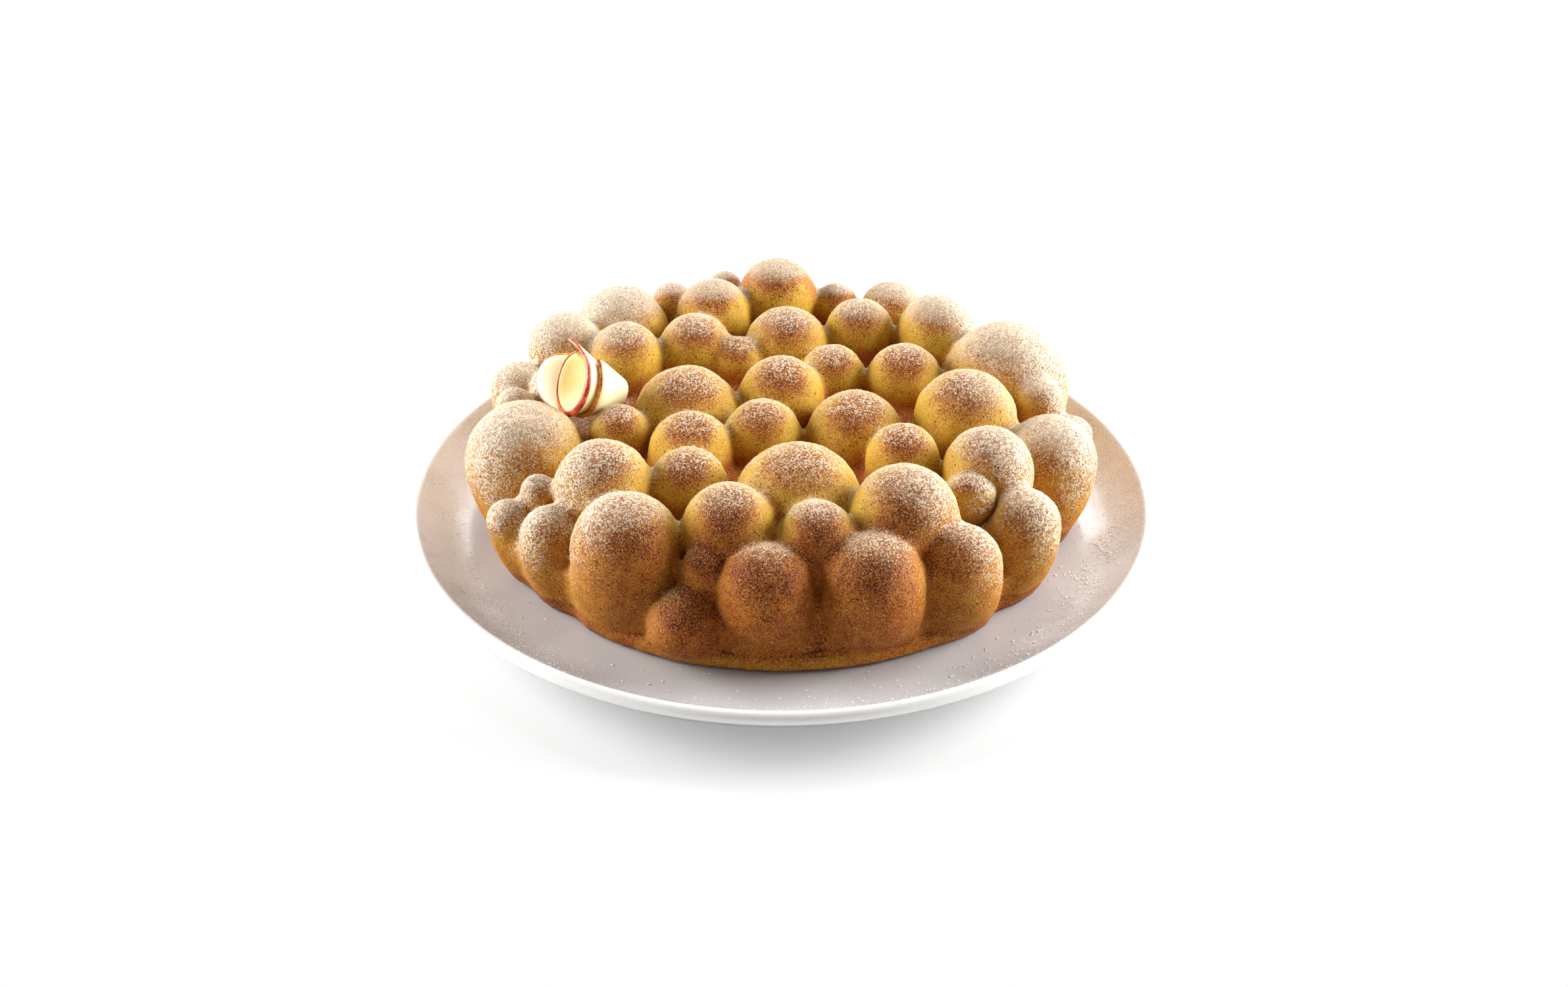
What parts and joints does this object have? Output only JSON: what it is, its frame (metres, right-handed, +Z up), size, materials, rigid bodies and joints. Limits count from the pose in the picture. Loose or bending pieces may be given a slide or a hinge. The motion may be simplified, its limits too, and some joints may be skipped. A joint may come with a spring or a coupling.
{
  "type": "bubble sponge cake on a plate",
  "caption": "Round sponge cake covered in baked bubbles and icing sugar, standing on a pale glazed coupe plate, with a rolled apple-slice garnish; cake and garnish lift off.",
  "frame": {"origin": "on the plate's axis, at the table that its foot ring stands on", "axes": "+Z up along the plate's axis; -Y towards the viewer of the picture; +X to the viewer's right"},
  "size_m": [0.284, 0.284, 0.0796],
  "materials": {
    "plate_glaze": "gloss",
    "sponge_crust": "matte",
    "apple_flesh": "satin",
    "apple_skin_red": "satin",
    "apple_skin_orange": "satin"
  },
  "bodies": {
    "plate": {"plate": "plate_glaze"},
    "cake": {"cake": "sponge_crust"},
    "garnish": {"apple_slice_inner": "apple_flesh", "apple_peel_inner": "apple_skin_red", "apple_slice_outer": "apple_flesh", "apple_peel_outer": "apple_skin_orange"}
  },
  "joints": [
    {"name": "cake_lift", "type": "slide", "parent": "plate", "child": "cake", "axis": [0, 0, 1], "range_m": [0, 0.08]},
    {"name": "garnish_lift", "type": "slide", "parent": "cake", "child": "garnish", "axis": [0, 0, 1], "range_m": [0, 0.05]}
  ]
}
